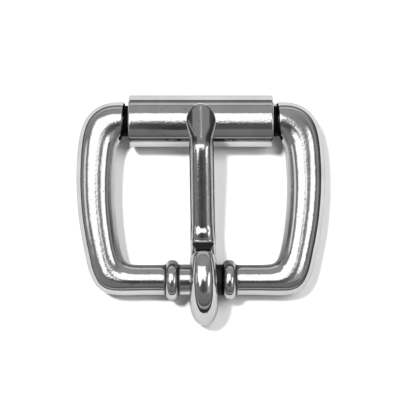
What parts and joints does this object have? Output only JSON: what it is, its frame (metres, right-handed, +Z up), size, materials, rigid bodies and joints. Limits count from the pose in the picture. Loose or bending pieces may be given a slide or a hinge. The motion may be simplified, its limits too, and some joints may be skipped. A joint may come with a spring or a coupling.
{
  "type": "roller buckle",
  "caption": "Strap buckle: a rounded loop frame with a roller sleeve on the top bar and a hinged tongue whose eye turns on the heel bar between two raised rings.",
  "frame": {"origin": "centre of the overall box in plan, on the surface that the buckle lies on", "axes": "+X along the heel bar and the roller, across the strap; +Y from the heel bar to the roller; +Z up through the front face, away from the surface"},
  "size_m": [0.0398, 0.037, 0.0116],
  "materials": {
    "cast_steel": "polished cast stainless steel with a faint orange peel",
    "sleeve_steel": "polished stainless steel tube with fine handling marks",
    "tongue_steel": "polished cast stainless steel"
  },
  "bodies": {
    "frame_body": {"frame": "cast_steel"},
    "roller_body": {"roller": "sleeve_steel"},
    "tongue_body": {"tongue": "tongue_steel"}
  },
  "joints": [
    {"name": "tongue_swing", "type": "hinge", "parent": "frame_body", "child": "tongue_body", "pos_m": [0, -0.01106, 0.00415], "axis": [1, 0, 0], "range_deg": [0, 330]},
    {"name": "roller_spin", "type": "hinge", "parent": "frame_body", "child": "roller_body", "pos_m": [0, 0.01435, 0.00415], "axis": [1, 0, 0], "continuous": true}
  ]
}
